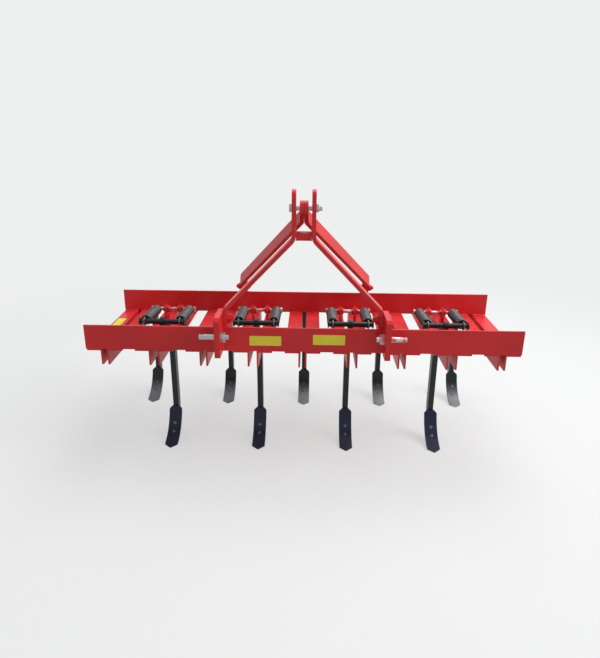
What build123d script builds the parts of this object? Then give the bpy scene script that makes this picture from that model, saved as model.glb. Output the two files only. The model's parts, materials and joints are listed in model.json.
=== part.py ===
"""Spring tine cultivator, nine tines in two rows, carried on a three-point hitch.

Millimetres. X runs across the machine, the hitch faces -Y, the tines work towards -Y, +Z is up.
The ground is Z = 0 at the shovel tips. The origin is the middle of the ground rectangle.
"""
import os
from math import atan2, cos, degrees, hypot, radians, sin, sqrt

from build123d import *

# Tine stations across the machine
tine_pitch = 200
station_count = 9

# Cross beams, steel angle with its foot at the bottom, pointing backwards
beam_end = 75
beam_height = 100
beam_foot = 60
beam_wall = 8
beam_seat_z = 533
rear_beam_y = 515

# Holder pairs, steel angle: a leg hangs beside the slot and a flange points away from it
holder_flange = 62
flange_end_inset = 3.5
holder_leg = 68
holder_wall = 7
holder_slot = 30
rear_pair_nose_slot = 19
front_pair_end_y = 585
rear_pair_overhang = 36
flange_end_gap = 8
joggle_behind_beam = 35
joggle_length = 40

# Tines: forged bar, vertical shank, curved foot and a thinner arm up to the spring bar
front_tip_y = 128
row_spacing = 447
tip_reach = 179
shank_width = 25
shank_depth = 40
shank_top_z = 452
foot_turn = 60
foot_end_depth = 16
foot_swell = 4
arm_width = 18
arm_depth = 32
pivot_set_forward = 17
pivot_z = 487
pivot_boss_radius = 25
pivot_radius = 10
stop_radius = 5
stop_nut_flats = 13
stop_nut_width = 6
pivot_nut_flats = 30
pivot_nut_width = 12

# Spring bar at the head of each arm
bar_set_forward = 147
front_bar_z = 598
rear_bar_z = 586
bar_radius = 11
bar_half_length = 97
bar_collar_radius = 16
bar_collar_width = 6
arm_eye_radius = 20

# Shovels: curved strip, shouldered at the top and pointed at the tip
shovel_width = 58
shovel_thickness = 8
shovel_radius = 155
shovel_turn = 72
shovel_start_turn = 9
shovel_tip_length = 46
shovel_point_length = 24
shovel_shoulder = 16

# Extension springs in pairs, from the spring bar back to the anchor bolt
spring_offset = 75
spring_radius = 22
spring_bore = 14
spring_wire = 4
spring_end_space = 20
spring_web = 5
spring_web_depth = 14

# Anchors
anchor_set_back = 63
front_anchor_z = 588
rear_anchor_z = 512
anchor_radius = 8
anchor_half_length = 92
anchor_head_radius = 13
anchor_head_width = 8
lug_offset = 32.5
lug_wall = 8
lug_half_base = 27
lug_peak = 26
lug_waist = 22

# Hitch plates and lower hitch pins
hitch_spread = 683
hitch_plate_wall = 22
hitch_plate_front_y = -75
hitch_plate_rear_y = 72
hitch_plate_foot_z = 531
hitch_plate_top_z = 692
hitch_plate_chamfer = 12
hitch_pin_y = -40
hitch_pin_z = 606
hitch_pin_radius = 11
hitch_pin_reach = 65
hitch_stud_radius = 10
hitch_pin_chamfer = 2
linch_hole_radius = 4.5
linch_hole_inset = 12
hitch_nut_flats = 36
hitch_nut_width = 19
hitch_thread_stub = 12

# Mast: two bars bent inwards, joined by a spacer, with a cross pin for the braces
mast_wall = 16
mast_bar_width = 60
mast_bend_z = 700
mast_top_z = 1166
mast_ear_height = 181
mast_half_gap = 30
mast_bend_radius = 28
mast_top_round = 20
mast_bolt_y = 38
mast_bolt_z = 660
mast_bolt_radius = 11
spacer_height = 28
spacer_depth = 46
top_bore_radius = 9.75
top_bore_drop = 26
brace_pin_drop = 68
brace_pin_radius = 9.5
brace_pin_nut = 10
brace_pin_tail = 22

# Braces from the cross pin down to lugs on the rear beam
brace_wall = 16
brace_width = 55
brace_foot_x = 306
brace_foot_y = 545
brace_foot_z = 653
brace_head_straight = 58
brace_foot_straight = 70
brace_bend_radius = 30
brace_end_round = 27
brace_bolt_radius = 9
brace_lug_wall = 12
brace_lug_depth = 50
brace_lug_top_z = 684
brace_lug_chamfer = 16

# Bolt heads and nuts: width over flats and thickness
mast_bolt_flats = 32
mast_bolt_head = 13
mast_bolt_stub = 12
brace_pin_flats = 28
brace_bolt_flats = 27
brace_bolt_head = 10
brace_bolt_stub = 6
pair_bolt_stub = 5

# Clearances
seat_gap = 0.3
pin_gap = 0.08
bolt_hole_gap = 0.3

# Worked-out places
beam_length = (station_count - 1) * tine_pitch + 2 * beam_end
beam_top_z = beam_seat_z + beam_height
rear_holder_flange = beam_end - rear_pair_nose_slot / 2 - flange_end_inset
axis_from_tip = tip_reach
station_xs = [tine_pitch * (i - (station_count - 1) / 2) for i in range(station_count)]
rear_shank_y = front_tip_y + row_spacing + axis_from_tip
rear_pair_end_y = rear_shank_y + anchor_set_back + rear_pair_overhang
mast_y = beam_wall + seat_gap + mast_bar_width / 2
hitch_inner_x = hitch_spread / 2 - hitch_plate_wall
mast_foot_x = hitch_inner_x - mast_wall / 2
mast_top_x = mast_half_gap + mast_wall / 2
mast_shoulder_z = mast_top_z - mast_ear_height
top_bore_z = mast_top_z - top_bore_drop
brace_pin_z = mast_top_z - brace_pin_drop
bar_to_pivot = bar_set_forward - pivot_set_forward
origin_shift = Pos(0, -(hitch_plate_front_y + rear_pair_end_y) / 2, 0)

# Columns: row name, tip y, spring bar z, anchor z, holder end y
ROWS = {
    "front": (front_tip_y, front_bar_z, front_anchor_z, front_pair_end_y),
    "rear": (front_tip_y + row_spacing, rear_bar_z, rear_anchor_z, rear_pair_end_y),
}


def row_of(index):
    """Odd stations from the left end carry the rear row, even ones the front row."""
    return "rear" if index % 2 == 0 else "front"


def side_plate(outline, x_low, x_high):
    """Extrude a closed outline of (y, z) points from x_low to x_high."""
    face = make_face(Polyline(*outline, close=True))
    return Pos(x_low, 0, 0) * extrude(Plane.YZ * face, x_high - x_low)


def rod(radius, x_low, x_high, y, z):
    """Round bar along X."""
    body = extrude(Plane.YZ * Circle(radius), x_high - x_low)
    return Pos(x_low, y, z) * body


def hexagon(flats, x_low, x_high, y, z):
    """Hexagonal head or nut along X, measured across its flats."""
    body = extrude(Plane.YZ * RegularPolygon(flats / 2, 6, major_radius=False), x_high - x_low)
    return Pos(x_low, y, z) * body


def bent_strip(plane, points, wall, width, radius):
    """Flat bar bent along points, its wall to the left of them, its width along the plane's normal."""
    with BuildPart() as bar:
        with BuildSketch(plane):
            with BuildLine():
                FilletPolyline(*points, radius=radius)
                offset(amount=wall, side=Side.LEFT)
            make_face()
        extrude(amount=width / 2, both=True)
    return bar.part


def angle_beam(front_y):
    """Angle beam with its upright at front_y and its foot pointing backwards."""
    outline = [
        (front_y, beam_seat_z),
        (front_y + beam_foot, beam_seat_z),
        (front_y + beam_foot, beam_seat_z + beam_wall),
        (front_y + beam_wall, beam_seat_z + beam_wall),
        (front_y + beam_wall, beam_top_z),
        (front_y, beam_top_z),
    ]
    return side_plate(outline, -beam_length / 2, beam_length / 2)


def stop_place(row):
    """Centre of the stop pin, which lies against both the arm's back and the pivot boss."""
    tip_y, bar_z, _, _ = ROWS[row]
    rise = bar_z - pivot_z
    length = hypot(bar_to_pivot, rise)
    along = (-bar_to_pivot / length, rise / length)
    away = (rise / length, bar_to_pivot / length)
    reach = arm_depth / 2 + stop_radius + seat_gap
    lift = sqrt((pivot_boss_radius + stop_radius + seat_gap) ** 2 - reach**2)
    pivot_y = tip_y + axis_from_tip - pivot_set_forward
    return (
        pivot_y + along[0] * lift + away[0] * reach,
        pivot_z + along[1] * lift + away[1] * reach,
    )


def leg_plan(row):
    """Plan of a right-hand leg. The rear row's legs are joggled apart under the rear beam."""
    half = holder_slot / 2
    end_y = ROWS[row][3]
    if row == "front":
        return [(half, 0), (half + holder_wall, 0), (half + holder_wall, end_y), (half, end_y)]
    nose = rear_pair_nose_slot / 2
    start = rear_beam_y + joggle_behind_beam
    return [
        (nose, 0),
        (nose + holder_wall, 0),
        (nose + holder_wall, start),
        (half + holder_wall, start + joggle_length),
        (half + holder_wall, end_y),
        (half, end_y),
        (half, start + joggle_length),
        (nose, start),
    ]


def flange_end_y(row):
    """Where the flange of a holder angle stops: behind the rear beam's foot."""
    return ROWS[row][3] if row == "front" else rear_beam_y + beam_foot + flange_end_gap


def holder_half(row):
    """Right-hand angle of a holder pair, about the station's own centre line."""
    tip_y, _, anchor_z, _ = ROWS[row]
    leg = leg_plan(row)
    nose = leg[0][0]
    edge = nose + (holder_flange if row == "front" else rear_holder_flange)
    flange_end = flange_end_y(row)
    flange = [(nose, 0), (edge, 0), (edge, flange_end), (nose, flange_end)]
    leg_face = make_face(Polyline(*leg, close=True))
    flange_face = make_face(Polyline(*flange, close=True))
    body = Pos(0, 0, beam_seat_z - holder_leg) * extrude(leg_face, holder_leg - holder_wall)
    body += Pos(0, 0, beam_seat_z - holder_wall) * extrude(leg_face + flange_face, holder_wall)
    shank_y = tip_y + axis_from_tip
    stop_y, stop_z = stop_place(row)
    holes = [(pivot_radius, shank_y - pivot_set_forward, pivot_z), (stop_radius, stop_y, stop_z)]
    if row == "rear":
        holes.append((anchor_radius, shank_y + anchor_set_back, anchor_z))
    for radius, y, z in holes:
        body -= rod(radius + bolt_hole_gap, 0, holder_flange, y, z)
    return body


def group(shapes):
    """Separate shapes as one node, each a solid of its own."""
    return Compound([solid for shape in shapes for solid in shape.solids()])


def holder_pair(row, x):
    """The two angles of a station's holder pair, each a solid of its own."""
    right = holder_half(row)
    return [Pos(x, 0, 0) * right, Pos(x, 0, 0) * mirror(right, Plane.YZ)]


def foot_centre(tip_y):
    """Centre of the arc that the shovel's working face follows, and its height."""
    drop = shovel_radius * sin(radians(shovel_turn)) + shovel_tip_length * cos(radians(shovel_turn))
    reach = shovel_radius * cos(radians(shovel_turn)) - shovel_tip_length * sin(radians(shovel_turn))
    return tip_y - reach, drop


def arc_point(centre, radius, turn):
    """Point on the foot's arc after a turn in degrees from the vertical stretch."""
    return centre[0] + radius * cos(radians(turn)), centre[1] - radius * sin(radians(turn))


def tine(row, x):
    """Forged tine with its spring bar fixed in the arm's eye."""
    tip_y, bar_z, _, _ = ROWS[row]
    shank_y = tip_y + axis_from_tip
    pivot_y = shank_y - pivot_set_forward
    bar_y = shank_y - bar_set_forward
    centre = foot_centre(tip_y)
    front_radius = shovel_radius + shovel_thickness
    front_y = centre[0] + front_radius
    back_y = front_y + shank_depth

    front_end = arc_point(centre, front_radius, foot_turn)
    back_end = arc_point(centre, front_radius + foot_end_depth, foot_turn)
    back_mid = arc_point(centre, front_radius + (shank_depth + foot_end_depth) / 2 + foot_swell, foot_turn / 2)
    front_mid = arc_point(centre, front_radius, foot_turn / 2)
    foot = make_face(
        [
            Line((front_y, shank_top_z), (front_y, centre[1])),
            ThreePointArc((front_y, centre[1]), front_mid, front_end),
            Line(front_end, back_end),
            ThreePointArc(back_end, back_mid, (back_y, centre[1])),
            Line((back_y, centre[1]), (back_y, shank_top_z)),
            Line((back_y, shank_top_z), (front_y, shank_top_z)),
        ]
    )
    rise = bar_z - pivot_z
    length = hypot(bar_to_pivot, rise)
    side = (rise / length, bar_to_pivot / length)
    boss = pivot_boss_radius
    neck = make_face(
        Polyline(
            (front_y, shank_top_z),
            (back_y, shank_top_z),
            (pivot_y + side[0] * boss, pivot_z + side[1] * boss),
            (pivot_y - side[0] * boss, pivot_z - side[1] * boss),
            close=True,
        )
    )
    half = arm_depth / 2
    arm = make_face(
        Polyline(
            (pivot_y + side[0] * half, pivot_z + side[1] * half),
            (bar_y + side[0] * half, bar_z + side[1] * half),
            (bar_y - side[0] * half, bar_z - side[1] * half),
            (pivot_y - side[0] * half, pivot_z - side[1] * half),
            close=True,
        )
    )
    shank = foot + neck + Pos(pivot_y, pivot_z) * Circle(boss)
    head = arm + Pos(bar_y, bar_z) * Circle(arm_eye_radius)
    body = Pos(-shank_width / 2, 0, 0) * extrude(Plane.YZ * shank, shank_width)
    body += Pos(-arm_width / 2, 0, 0) * extrude(Plane.YZ * head, arm_width)
    body -= rod(pivot_radius + pin_gap, -shank_width, shank_width, pivot_y, pivot_z)
    body += rod(bar_radius, -bar_half_length, bar_half_length, bar_y, bar_z)
    for side_sign in (-1, 1):
        inner = side_sign * (bar_half_length - bar_collar_width)
        outer = side_sign * bar_half_length
        body += rod(bar_collar_radius, min(inner, outer), max(inner, outer), bar_y, bar_z)
    return Pos(x, 0, 0) * body


def shovel(row, x):
    """Curved, shouldered and pointed shovel seated on the tine's foot."""
    tip_y = ROWS[row][0]
    centre = foot_centre(tip_y)
    outer = shovel_radius + shovel_thickness
    start = shovel_start_turn
    middle = (start + shovel_turn) / 2
    tip = (tip_y, 0)
    back_tip = (tip_y + shovel_thickness * cos(radians(shovel_turn)), 0)
    blade = make_face(
        [
            ThreePointArc(
                arc_point(centre, shovel_radius, start),
                arc_point(centre, shovel_radius, middle),
                arc_point(centre, shovel_radius, shovel_turn),
            ),
            Line(arc_point(centre, shovel_radius, shovel_turn), tip),
            Line(tip, back_tip),
            Line(back_tip, arc_point(centre, outer, shovel_turn)),
            ThreePointArc(
                arc_point(centre, outer, shovel_turn),
                arc_point(centre, outer, middle),
                arc_point(centre, outer, start),
            ),
            Line(arc_point(centre, outer, start), arc_point(centre, shovel_radius, start)),
        ]
    )
    body = Pos(-shovel_width / 2, 0, 0) * extrude(Plane.YZ * blade, shovel_width)
    top_z = arc_point(centre, shovel_radius, start)[1]
    half = shovel_width / 2
    neck = shank_width / 2
    for sign in (-1, 1):
        shoulder = make_face(
            Polyline(
                (sign * neck, top_z + 2),
                (sign * (half + 1), top_z + 2),
                (sign * (half + 1), top_z - shovel_shoulder),
                close=True,
            )
        )
        body -= Pos(0, centre[0] + outer + 1, 0) * extrude(Plane.XZ * shoulder, shovel_thickness * 3)
        point = make_face(
            Polyline(
                (0, tip_y - 1),
                (sign * (half + 1), tip_y - 1),
                (sign * (half + 1), tip_y + shovel_point_length),
                close=True,
            )
        )
        body -= extrude(point, shovel_tip_length)
    return Pos(x, 0, 0) * body


def spring(length):
    """One spring along +Y from its eye at the origin to its eye at length."""
    front_end = spring_end_space
    rear_end = length - spring_end_space
    coil = Pos(0, rear_end, 0) * extrude(Plane.XZ * Circle(spring_radius), rear_end - front_end)
    web_ends = ((front_end, front_end + spring_web_depth), (rear_end - spring_web_depth, rear_end))
    for low, high in web_ends:
        coil -= Pos(0, high, 0) * extrude(Plane.XZ * Circle(spring_bore), high - low)
    front_loop = bar_radius + seat_gap + spring_wire
    rear_loop = anchor_radius + seat_gap + spring_wire
    loops = Plane.YZ * Torus(front_loop, spring_wire)
    loops += Pos(0, length, 0) * (Plane.YZ * Torus(rear_loop, spring_wire))
    shank_low = front_loop
    shank_high = front_end + spring_web_depth + spring_web
    wire = Pos(0, shank_high, 0) * extrude(Plane.XZ * Circle(spring_wire), shank_high - shank_low)
    tail_high = length - rear_loop
    tail_low = rear_end - spring_web_depth - spring_web
    wire += Pos(0, tail_high, 0) * extrude(Plane.XZ * Circle(spring_wire), tail_high - tail_low)
    return coil + loops + wire


def spring_pair(row, x):
    """Two springs beside the arm, from the spring bar to the anchor bolt."""
    tip_y, bar_z, anchor_z, _ = ROWS[row]
    shank_y = tip_y + axis_from_tip
    run = bar_set_forward + anchor_set_back
    drop = anchor_z - bar_z
    one = Rot(degrees(atan2(drop, run)), 0, 0) * spring(hypot(run, drop))
    solids = []
    for sign in (-1, 1):
        solids.append(Pos(x + sign * spring_offset, shank_y - bar_set_forward, bar_z) * one)
    return group(solids)


def anchor_bolt(row, x):
    """Long bolt that holds the rear eyes of a spring pair."""
    tip_y, _, anchor_z, _ = ROWS[row]
    y = tip_y + axis_from_tip + anchor_set_back
    half = anchor_half_length
    body = rod(anchor_radius, -half, half, y, anchor_z)
    for low in (-half - anchor_head_width, half):
        body += rod(anchor_head_radius, low, low + anchor_head_width, y, anchor_z)
    return Pos(x, 0, 0) * body


def spring_lugs(x):
    """Two upright lugs on the flanges of a front-row holder pair."""
    y = front_tip_y + axis_from_tip + anchor_set_back
    peak = front_anchor_z + lug_peak
    middle_z = (beam_seat_z + peak) / 2
    outline = make_face(
        [
            Line((y - lug_half_base, beam_seat_z), (y + lug_half_base, beam_seat_z)),
            ThreePointArc(
                (y + lug_half_base, beam_seat_z), (y + lug_waist, middle_z), (y, peak)
            ),
            ThreePointArc(
                (y, peak), (y - lug_waist, middle_z), (y - lug_half_base, beam_seat_z)
            ),
        ]
    )
    solids = []
    for sign in (-1, 1):
        low = sign * lug_offset - lug_wall / 2
        body = Pos(low, 0, 0) * extrude(Plane.YZ * outline, lug_wall)
        body -= rod(anchor_radius + bolt_hole_gap, low - 1, low + lug_wall + 1, y, front_anchor_z)
        solids.append(Pos(x, 0, 0) * body)
    return solids


def pair_bolt(x, radius, y, z, flats, head):
    """Bolt across a holder pair, with its head and nut against the outer faces of the legs."""
    face = holder_slot / 2 + holder_wall
    body = rod(radius, -face, face + head + pair_bolt_stub, y, z)
    body += hexagon(flats, -face - head, -face, y, z)
    body += hexagon(flats, face, face + head, y, z)
    return Pos(x, 0, 0) * body


def hitch_plate(sign):
    """Hitch plate standing on the front of the beam and reaching over it."""
    c = hitch_plate_chamfer
    over = beam_top_z + seat_gap
    outline = [
        (hitch_plate_front_y, hitch_plate_foot_z),
        (hitch_plate_front_y, hitch_plate_top_z - c),
        (hitch_plate_front_y + c, hitch_plate_top_z),
        (hitch_plate_rear_y - c, hitch_plate_top_z),
        (hitch_plate_rear_y, hitch_plate_top_z - c),
        (hitch_plate_rear_y, over),
        (0, over),
        (0, hitch_plate_foot_z),
    ]
    low = min(sign * hitch_inner_x, sign * hitch_spread / 2)
    body = side_plate(outline, low, low + hitch_plate_wall)
    body -= rod(hitch_stud_radius + pin_gap, low - 1, low + hitch_plate_wall + 1, hitch_pin_y, hitch_pin_z)
    hole = mast_bolt_radius + bolt_hole_gap
    return body - rod(hole, low - 1, low + hitch_plate_wall + 1, mast_bolt_y, mast_bolt_z)


def hitch_pin(sign):
    """Lower hitch pin, its thinner stud through the plate to a nut inside, drawn for +X and mirrored."""
    shoulder = hitch_spread / 2
    tip = shoulder + hitch_pin_reach
    nut_low = hitch_inner_x - hitch_nut_width
    body = rod(hitch_pin_radius, shoulder, tip, hitch_pin_y, hitch_pin_z)
    body = chamfer(body.edges().sort_by(Axis.X)[-1], hitch_pin_chamfer)
    body += rod(hitch_stud_radius, nut_low - hitch_thread_stub, shoulder, hitch_pin_y, hitch_pin_z)
    body += hexagon(hitch_nut_flats, nut_low, hitch_inner_x, hitch_pin_y, hitch_pin_z)
    hole = Cylinder(linch_hole_radius, 2 * hitch_nut_flats)
    body -= Pos(tip - linch_hole_inset, hitch_pin_y, hitch_pin_z) * hole
    return body if sign > 0 else mirror(body, Plane.YZ)


def mast_bar(sign):
    """Bent mast bar, drawn for +X and mirrored."""
    outer = mast_wall / 2
    points = [
        (mast_foot_x + outer, beam_seat_z + beam_wall),
        (mast_foot_x + outer, mast_bend_z),
        (mast_top_x + outer, mast_shoulder_z),
        (mast_top_x + outer, mast_top_z),
    ]
    bar = bent_strip(Plane.XZ, points, mast_wall, mast_bar_width, mast_bend_radius)
    bar = Pos(0, mast_y, 0) * bar
    top_edges = bar.edges().filter_by(Axis.X).sort_by(Axis.Z)[-2:]
    bar = fillet(top_edges, mast_top_round)
    holes = (
        (top_bore_radius, mast_y, top_bore_z),
        (brace_pin_radius + pin_gap, mast_y, brace_pin_z),
        (mast_bolt_radius + bolt_hole_gap, mast_bolt_y, mast_bolt_z),
    )
    for radius, y, z in holes:
        bar -= rod(radius, 0, hitch_spread / 2, y, z)
    return bar if sign > 0 else mirror(bar, Plane.YZ)


def mast_spacer():
    """Flat spacer welded between the mast bars where they turn upright."""
    body = Box(2 * mast_half_gap, spacer_depth, spacer_height)
    return Pos(0, mast_y, mast_shoulder_z + mast_wall / 2) * body


def mast_bolt(sign):
    """Bolt through the hitch plate and the mast bar, drawn for +X and mirrored."""
    low = hitch_inner_x - mast_wall
    high = hitch_spread / 2
    head = mast_bolt_head
    body = rod(mast_bolt_radius, low - head - mast_bolt_stub, high, mast_bolt_y, mast_bolt_z)
    body += hexagon(mast_bolt_flats, low - head, low, mast_bolt_y, mast_bolt_z)
    body += hexagon(mast_bolt_flats, high, high + head, mast_bolt_y, mast_bolt_z)
    return body if sign > 0 else mirror(body, Plane.YZ)


def brace_pin():
    """Cross pin through the mast that carries the heads of the braces."""
    outer = mast_top_x + mast_wall / 2
    body = rod(brace_pin_radius, -outer, outer + brace_pin_tail, mast_y, brace_pin_z)
    nut = brace_pin_nut
    body += hexagon(brace_pin_flats, -outer - nut, -outer, mast_y, brace_pin_z)
    body += hexagon(brace_pin_flats, outer, outer + nut, mast_y, brace_pin_z)
    return body


def brace(sign):
    """Flat brace, bent outwards between a head on the cross pin and a foot at the rear beam."""
    run_y = brace_foot_y - mast_y
    fall = brace_pin_z - brace_foot_z
    length = hypot(run_y, fall)
    down = Vector(0, run_y / length, -fall / length)
    plane = Plane(origin=(0, mast_y, brace_pin_z), x_dir=(1, 0, 0), z_dir=Vector(1, 0, 0).cross(down))
    end = brace_width / 2
    head_x = seat_gap + brace_wall
    points = [
        (head_x, -end),
        (head_x, brace_head_straight),
        (brace_foot_x, length - brace_foot_straight),
        (brace_foot_x, length + end),
    ]
    bar = bent_strip(plane, points, brace_wall, brace_width, brace_bend_radius)
    bar = fillet(bar.edges().filter_by(Axis.X), brace_end_round)
    for s in (0, length):
        place = plane.location * Pos(0, s, 0)
        radius = brace_pin_radius + pin_gap if s == 0 else brace_bolt_radius + bolt_hole_gap
        bar -= place * Rot(0, 90, 0) * Cylinder(radius, 4 * brace_foot_x)
    return bar if sign > 0 else mirror(bar, Plane.YZ)


def brace_lug(sign):
    """Lug standing on the rear beam's foot, inside the brace's foot."""
    low_y = rear_beam_y + beam_wall
    outline = [
        (low_y, beam_seat_z + beam_wall),
        (low_y + brace_lug_depth, beam_seat_z + beam_wall),
        (low_y + brace_lug_depth, brace_lug_top_z - brace_lug_chamfer),
        (low_y + brace_lug_depth - brace_lug_chamfer, brace_lug_top_z),
        (low_y, brace_lug_top_z),
    ]
    high = brace_foot_x - brace_wall - seat_gap
    body = side_plate(outline, high - brace_lug_wall, high)
    body -= rod(brace_bolt_radius + bolt_hole_gap, 0, brace_foot_x, brace_foot_y, brace_foot_z)
    return body if sign > 0 else mirror(body, Plane.YZ)


def brace_bolt(sign):
    """Bolt through the brace's foot and its lug."""
    low = brace_foot_x - brace_wall - seat_gap - brace_lug_wall
    head = brace_bolt_head
    body = rod(brace_bolt_radius, low - head - brace_bolt_stub, brace_foot_x, brace_foot_y, brace_foot_z)
    body += hexagon(brace_bolt_flats, low - head, low, brace_foot_y, brace_foot_z)
    body += hexagon(brace_bolt_flats, brace_foot_x, brace_foot_x + head, brace_foot_y, brace_foot_z)
    return body if sign > 0 else mirror(body, Plane.YZ)


def both_sides(maker):
    """Left and right copies of a piece as one group of solids."""
    return group([maker(-1), maker(1)])


def all_nodes():
    """Every node's name and shape."""
    nodes = {
        "front_beam": angle_beam(0),
        "rear_beam": angle_beam(rear_beam_y),
        "hitch_plate_left": hitch_plate(-1),
        "hitch_plate_right": hitch_plate(1),
        "hitch_pin_left": hitch_pin(-1),
        "hitch_pin_right": hitch_pin(1),
        "mast_bar_left": mast_bar(-1),
        "mast_bar_right": mast_bar(1),
        "mast_spacer": mast_spacer(),
        "mast_bolts": both_sides(mast_bolt),
        "brace_pin": brace_pin(),
        "brace_left": brace(-1),
        "brace_right": brace(1),
        "brace_lugs": both_sides(brace_lug),
        "brace_bolts": both_sides(brace_bolt),
    }
    pivots = []
    stops = []
    anchors = []
    lugs = []
    holders = {"front": [], "rear": []}
    for index, x in enumerate(station_xs):
        row = row_of(index)
        number = index + 1
        nodes[f"tine_{number}"] = tine(row, x)
        nodes[f"shovel_{number}"] = shovel(row, x)
        nodes[f"spring_pair_{number}"] = spring_pair(row, x)
        pivot_y = ROWS[row][0] + axis_from_tip - pivot_set_forward
        pivots.append(pair_bolt(x, pivot_radius, pivot_y, pivot_z, pivot_nut_flats, pivot_nut_width))
        stop_y, stop_z = stop_place(row)
        stops.append(pair_bolt(x, stop_radius, stop_y, stop_z, stop_nut_flats, stop_nut_width))
        anchors.append(anchor_bolt(row, x))
        holders[row].extend(holder_pair(row, x))
        if row == "front":
            lugs.extend(spring_lugs(x))
    nodes["front_row_holders"] = group(holders["front"])
    nodes["rear_row_holders"] = group(holders["rear"])
    nodes["pivot_bolts"] = group(pivots)
    nodes["stop_bolts"] = group(stops)
    nodes["anchor_bolts"] = group(anchors)
    nodes["spring_lugs"] = group(lugs)
    return nodes


os.makedirs("parts", exist_ok=True)
for name, shape in all_nodes().items():
    export_step(origin_shift * shape, f"parts/{name}.step")
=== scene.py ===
"""Spring tine cultivator: paint, steel, coil springs, bolts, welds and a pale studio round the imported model.

Metres. X runs across the machine, the hitch faces -Y, +Z is up, the ground is Z = 0.
"""
import json
import math

import bmesh
import bpy
from mathutils import Matrix, Vector, noise


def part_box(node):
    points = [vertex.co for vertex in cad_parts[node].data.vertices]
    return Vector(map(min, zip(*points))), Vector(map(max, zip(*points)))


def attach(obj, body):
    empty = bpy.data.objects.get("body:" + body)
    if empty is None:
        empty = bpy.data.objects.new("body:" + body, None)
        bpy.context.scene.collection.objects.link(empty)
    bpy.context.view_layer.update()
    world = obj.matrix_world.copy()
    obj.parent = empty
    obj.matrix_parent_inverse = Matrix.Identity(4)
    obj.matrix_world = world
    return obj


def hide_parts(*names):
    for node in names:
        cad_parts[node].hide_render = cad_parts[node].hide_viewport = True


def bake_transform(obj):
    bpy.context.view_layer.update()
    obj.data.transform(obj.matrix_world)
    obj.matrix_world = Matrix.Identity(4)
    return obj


bl_info = {
    "name": "Spring tine cultivator",
    "version": (1, 0, 0),
    "blender": (4, 5, 0),
    "location": "View3D > Sidebar > Cultivator",
    "description": "Finishes and small pieces of a nine-tine cultivator",
    "category": "Object",
}

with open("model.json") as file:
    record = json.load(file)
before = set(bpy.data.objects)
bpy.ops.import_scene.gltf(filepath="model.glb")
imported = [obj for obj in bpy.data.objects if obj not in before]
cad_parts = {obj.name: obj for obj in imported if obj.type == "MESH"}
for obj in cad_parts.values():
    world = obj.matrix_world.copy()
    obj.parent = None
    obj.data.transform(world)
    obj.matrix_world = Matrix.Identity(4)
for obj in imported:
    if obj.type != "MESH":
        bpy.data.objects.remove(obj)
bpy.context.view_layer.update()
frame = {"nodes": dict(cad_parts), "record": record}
record = frame["record"]
nodes = frame["nodes"]

# Tine stations, counted from the left
STATIONS = range(1, 10)

# Sizes that differ between the rows
ANCHOR_HEIGHT = {"front": 0.588, "rear": 0.512}
NOSE_SLOT = {"front": 0.030, "rear": 0.019}

# Sizes shared with the solids
SEAT = 0.0003
BEAM_WALL = 0.008
HOLDER_FLANGE = 0.062
HOLDER_WALL = 0.007
REAR_LEG_SLOT = 0.030
SPRING_OFFSET = 0.075
SPRING_BAR_RADIUS = 0.011
EYE_WIRE = 0.004
ARM_EYE_RADIUS = 0.020
ANCHOR_RADIUS = 0.008
LUG_OFFSET = 0.0325
LUG_WALL = 0.008
BRACE_LUG_WALL = 0.012
BRACE_FOOT = 0.306
SHOVEL_RADIUS = 0.155
SHOVEL_WALL = 0.008
SHOVEL_TURN = math.radians(72)
SHOVEL_TIP = 0.046
FOOT_DEPTH_TOP = 0.040
FOOT_DEPTH_END = 0.016
FOOT_TURN = math.radians(60)

# Directions
UP = Vector((0, 0, 1))
BACK = Vector((0, 1, 0))
RIGHT = Vector((1, 0, 0))


def row_of(station):
    """Odd stations carry the rear row, even ones the front row."""
    return "rear" if station % 2 else "front"


def linear(value):
    """A colour channel as seen, from 0 to 1, in linear light."""
    return value / 12.92 if value <= 0.04045 else ((value + 0.055) / 1.055) ** 2.4


def seen(red, green, blue):
    """Linear colour of a surface seen as these 0 to 255 channels."""
    return (linear(red / 255), linear(green / 255), linear(blue / 255))


class CultivatorColours(bpy.types.PropertyGroup):
    """Colours of the machine's finishes."""

    paint: bpy.props.FloatVectorProperty(
        name="Frame paint", description="Gloss paint of frame, mast and braces",
        default=(0.70, 0.028, 0.032), subtype="COLOR", min=0, max=1)
    tine: bpy.props.FloatVectorProperty(
        name="Tine black", description="Black paint of the forged tines",
        default=(0.006, 0.006, 0.007), subtype="COLOR", min=0, max=1)
    shovel: bpy.props.FloatVectorProperty(
        name="Shovel lacquer", description="Blue-black lacquer of the shovels",
        default=(0.004, 0.013, 0.042), subtype="COLOR", min=0, max=1)
    worn_shovel: bpy.props.FloatVectorProperty(
        name="Worn shovel lacquer", description="Black lacquer of the rear row's worn shovels",
        default=(0.010, 0.013, 0.018), subtype="COLOR", min=0, max=1)
    spring: bpy.props.FloatVectorProperty(
        name="Spring steel", description="Blackened wire of the springs",
        default=(0.074, 0.073, 0.078), subtype="COLOR", min=0, max=1)
    plate: bpy.props.FloatVectorProperty(
        name="Blank plates", description="Blank foil plates on the frame",
        default=(0.86, 0.71, 0.05), subtype="COLOR", min=0, max=1)
    zinc: bpy.props.FloatVectorProperty(
        name="Zinc", description="Bright plated pins and nuts",
        default=(0.43, 0.41, 0.415), subtype="COLOR", min=0, max=1)
    backdrop: bpy.props.FloatVectorProperty(
        name="Backdrop", description="Pale studio colour",
        default=seen(238, 239, 239), subtype="COLOR", min=0, max=1)


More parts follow.
